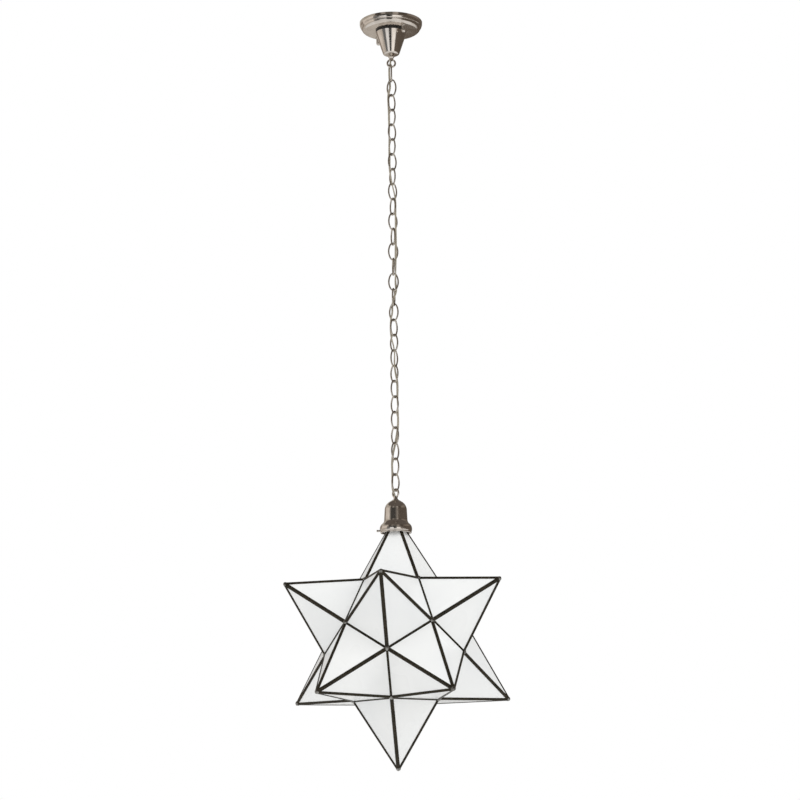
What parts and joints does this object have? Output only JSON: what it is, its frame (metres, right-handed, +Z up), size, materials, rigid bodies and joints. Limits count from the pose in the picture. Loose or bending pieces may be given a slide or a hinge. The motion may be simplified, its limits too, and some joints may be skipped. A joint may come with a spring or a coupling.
{
  "type": "star pendant light",
  "caption": "Hanging star lamp of white glass points in dark came, under a bell holder on an oval-link chain with a cord, a cone and a stepped ceiling canopy.",
  "frame": {"origin": "centre of the canopy on the ceiling plane, where the box strap and the canopy rim meet the ceiling", "axes": "+Z up out of the ceiling face, -Y towards the viewer, +X to the viewer's right"},
  "size_m": [0.4588, 0.4622, 1.5844],
  "materials": {
    "nickel": "polished",
    "plated_steel": "zinc plated",
    "dark_came": "dark patina",
    "white_glass": "translucent white",
    "frosted_glass": "frosted",
    "brass": "satin",
    "black_plastic": "matt",
    "cord_jacket": "smooth",
    "white_insulation": "smooth",
    "orange_plastic": "moulded"
  },
  "bodies": {
    "ceiling_set": {"box_strap": "plated_steel", "canopy_strap": "plated_steel", "strap_eyelet": "plated_steel", "canopy_studs": "plated_steel", "canopy": "nickel", "cone_spacer": "black_plastic", "cone": "nickel", "nipple": "plated_steel", "nipple_lock_washer": "plated_steel", "nipple_lock_nut": "plated_steel", "hang_loop": "nickel", "supply_leads": "white_insulation", "wire_connectors": "orange_plastic", "lamp_cord": "cord_jacket"},
    "near_nut": {"cap_nut_near": "nickel"},
    "far_nut": {"cap_nut_far": "nickel"},
    "link_01": {"chain_link_01": "nickel"},
    "link_02": {"chain_link_02": "nickel"},
    "link_03": {"chain_link_03": "nickel"},
    "link_04": {"chain_link_04": "nickel"},
    "link_05": {"chain_link_05": "nickel"},
    "link_06": {"chain_link_06": "nickel"},
    "link_07": {"chain_link_07": "nickel"},
    "link_08": {"chain_link_08": "nickel"},
    "link_09": {"chain_link_09": "nickel"},
    "link_10": {"chain_link_10": "nickel"},
    "link_11": {"chain_link_11": "nickel"},
    "link_12": {"chain_link_12": "nickel"},
    "link_13": {"chain_link_13": "nickel"},
    "link_14": {"chain_link_14": "nickel"},
    "link_15": {"chain_link_15": "nickel"},
    "link_16": {"chain_link_16": "nickel"},
    "link_17": {"chain_link_17": "nickel"},
    "link_18": {"chain_link_18": "nickel"},
    "link_19": {"chain_link_19": "nickel"},
    "link_20": {"chain_link_20": "nickel"},
    "link_21": {"chain_link_21": "nickel"},
    "link_22": {"chain_link_22": "nickel"},
    "link_23": {"chain_link_23": "nickel"},
    "link_24": {"chain_link_24": "nickel"},
    "link_25": {"chain_link_25": "nickel"},
    "link_26": {"chain_link_26": "nickel"},
    "link_27": {"chain_link_27": "nickel"},
    "link_28": {"chain_link_28": "nickel"},
    "holder": {"holder_loop": "nickel", "shade_holder": "nickel", "holder_lock_nut": "plated_steel", "socket_cap": "brass", "socket_body": "black_plastic", "screw_shell": "brass"},
    "bulb": {"bulb_base": "brass", "bulb_glass": "frosted_glass"},
    "star": {"star_collar": "nickel", "top_point_frame": "dark_came", "point_frames": "dark_came", "top_point_panes": "white_glass", "point_panes": "white_glass"},
    "screw_1": {"thumbscrew_1": "nickel"},
    "screw_2": {"thumbscrew_2": "nickel"},
    "screw_3": {"thumbscrew_3": "nickel"}
  },
  "joints": [
    {"name": "near_nut_turn", "type": "hinge", "parent": "ceiling_set", "child": "near_nut", "pos_m": [0.02701, -0.03944, -0.03], "axis": [0, 0, 1], "continuous": true},
    {"name": "far_nut_turn", "type": "hinge", "parent": "ceiling_set", "child": "far_nut", "pos_m": [-0.02701, 0.03944, -0.03], "axis": [0, 0, 1], "continuous": true},
    {"name": "link_01_swing", "type": "hinge", "parent": "ceiling_set", "child": "link_01", "pos_m": [0, 0, -0.0996], "axis": [1, 0, 0], "range_deg": [-30, 30], "deforming": ["lamp_cord"]},
    {"name": "link_02_swing", "type": "hinge", "parent": "link_01", "child": "link_02", "pos_m": [0, 0, -0.1319], "axis": [0, 1, 0], "range_deg": [-30, 30]},
    {"name": "link_03_swing", "type": "hinge", "parent": "link_02", "child": "link_03", "pos_m": [0, 0, -0.1646], "axis": [-0.9272, 0.3746, 0], "range_deg": [-30, 30]},
    {"name": "link_04_swing", "type": "hinge", "parent": "link_03", "child": "link_04", "pos_m": [0, 0, -0.1973], "axis": [-0.6947, -0.7193, 0], "range_deg": [-30, 30]},
    {"name": "link_05_swing", "type": "hinge", "parent": "link_04", "child": "link_05", "pos_m": [0, 0, -0.23], "axis": [0.6884, -0.7254, 0], "range_deg": [-30, 30]},
    {"name": "link_06_swing", "type": "hinge", "parent": "link_05", "child": "link_06", "pos_m": [0, 0, -0.2627], "axis": [0.7547, 0.6561, 0], "range_deg": [-30, 30]},
    {"name": "link_07_swing", "type": "hinge", "parent": "link_06", "child": "link_07", "pos_m": [0, 0, -0.2954], "axis": [-0.6225, 0.7826, 0], "range_deg": [-30, 30]},
    {"name": "link_08_swing", "type": "hinge", "parent": "link_07", "child": "link_08", "pos_m": [0, 0, -0.3281], "axis": [-0.809, -0.5878, 0], "range_deg": [-30, 30]},
    {"name": "link_09_swing", "type": "hinge", "parent": "link_08", "child": "link_09", "pos_m": [0, 0, -0.3608], "axis": [0.5664, -0.8241, 0], "range_deg": [-30, 30]},
    {"name": "link_10_swing", "type": "hinge", "parent": "link_09", "child": "link_10", "pos_m": [0, 0, -0.3935], "axis": [0.8387, 0.5446, 0], "range_deg": [-30, 30]},
    {"name": "link_11_swing", "type": "hinge", "parent": "link_10", "child": "link_11", "pos_m": [0, 0, -0.4262], "axis": [-0.5225, 0.8526, 0], "range_deg": [-30, 30]},
    {"name": "link_12_swing", "type": "hinge", "parent": "link_11", "child": "link_12", "pos_m": [0, 0, -0.4589], "axis": [-0.866, -0.5, 0], "range_deg": [-30, 30]},
    {"name": "link_13_swing", "type": "hinge", "parent": "link_12", "child": "link_13", "pos_m": [0, 0, -0.4916], "axis": [0.3827, -0.9239, 0], "range_deg": [-30, 30]},
    {"name": "link_14_swing", "type": "hinge", "parent": "link_13", "child": "link_14", "pos_m": [0, 0, -0.5243], "axis": [0.9659, 0.2588, 0], "range_deg": [-30, 30]},
    {"name": "link_15_swing", "type": "hinge", "parent": "link_14", "child": "link_15", "pos_m": [0, 0, -0.557], "axis": [-0.1305, 0.9914, 0], "range_deg": [-30, 30]},
    {"name": "link_16_swing", "type": "hinge", "parent": "link_15", "child": "link_16", "pos_m": [0, 0, -0.5897], "axis": [-1, 0, 0], "range_deg": [-30, 30]},
    {"name": "link_17_swing", "type": "hinge", "parent": "link_16", "child": "link_17", "pos_m": [0, 0, -0.6224], "axis": [-0.2419, -0.9703, 0], "range_deg": [-30, 30]},
    {"name": "link_18_swing", "type": "hinge", "parent": "link_17", "child": "link_18", "pos_m": [0, 0, -0.6551], "axis": [0.8829, -0.4695, 0], "range_deg": [-30, 30]},
    {"name": "link_19_swing", "type": "hinge", "parent": "link_18", "child": "link_19", "pos_m": [0, 0, -0.6878], "axis": [0.6691, 0.7431, 0], "range_deg": [-30, 30]},
    {"name": "link_20_swing", "type": "hinge", "parent": "link_19", "child": "link_20", "pos_m": [0, 0, -0.7205], "axis": [-0.7373, 0.6756, 0], "range_deg": [-30, 30]},
    {"name": "link_21_swing", "type": "hinge", "parent": "link_20", "child": "link_21", "pos_m": [0, 0, -0.7532], "axis": [-0.682, -0.7314, 0], "range_deg": [-30, 30]},
    {"name": "link_22_swing", "type": "hinge", "parent": "link_21", "child": "link_22", "pos_m": [0, 0, -0.7859], "axis": [0.7254, -0.6884, 0], "range_deg": [-30, 30]},
    {"name": "link_23_swing", "type": "hinge", "parent": "link_22", "child": "link_23", "pos_m": [0, 0, -0.8186], "axis": [0.6947, 0.7193, 0], "range_deg": [-30, 30]},
    {"name": "link_24_swing", "type": "hinge", "parent": "link_23", "child": "link_24", "pos_m": [0, 0, -0.8513], "axis": [-0.7133, 0.7009, 0], "range_deg": [-30, 30]},
    {"name": "link_25_swing", "type": "hinge", "parent": "link_24", "child": "link_25", "pos_m": [0, 0, -0.884], "axis": [-0.7071, -0.7071, 0], "range_deg": [-30, 30]},
    {"name": "link_26_swing", "type": "hinge", "parent": "link_25", "child": "link_26", "pos_m": [0, 0, -0.9167], "axis": [0.7009, -0.7133, 0], "range_deg": [-30, 30]},
    {"name": "link_27_swing", "type": "hinge", "parent": "link_26", "child": "link_27", "pos_m": [0, 0, -0.9494], "axis": [0.7193, 0.6947, 0], "range_deg": [-30, 30]},
    {"name": "link_28_swing", "type": "hinge", "parent": "link_27", "child": "link_28", "pos_m": [0, 0, -0.9821], "axis": [-0.6884, 0.7254, 0], "range_deg": [-30, 30]},
    {"name": "holder_swing", "type": "hinge", "parent": "link_28", "child": "holder", "pos_m": [0, 0, -1.0148], "axis": [-0.7314, -0.682, 0], "range_deg": [-30, 30]},
    {"name": "star_release", "type": "slide", "parent": "holder", "child": "star", "axis": [0, 0, 1], "range_m": [-0.09, 0]},
    {"name": "thumbscrew_1_out", "type": "slide", "parent": "holder", "child": "screw_1", "axis": [-0.9903, 0.1392, 0], "range_m": [0, 0.005]},
    {"name": "thumbscrew_2_out", "type": "slide", "parent": "holder", "child": "screw_2", "axis": [0.3746, -0.9272, 0], "range_m": [0, 0.005]},
    {"name": "thumbscrew_3_out", "type": "slide", "parent": "holder", "child": "screw_3", "axis": [0.6157, 0.788, 0], "range_m": [0, 0.005]},
    {"name": "bulb_turn", "type": "hinge", "parent": "holder", "child": "bulb", "pos_m": [0, 0, -1.0724], "axis": [0, 0, 1], "continuous": true}
  ]
}
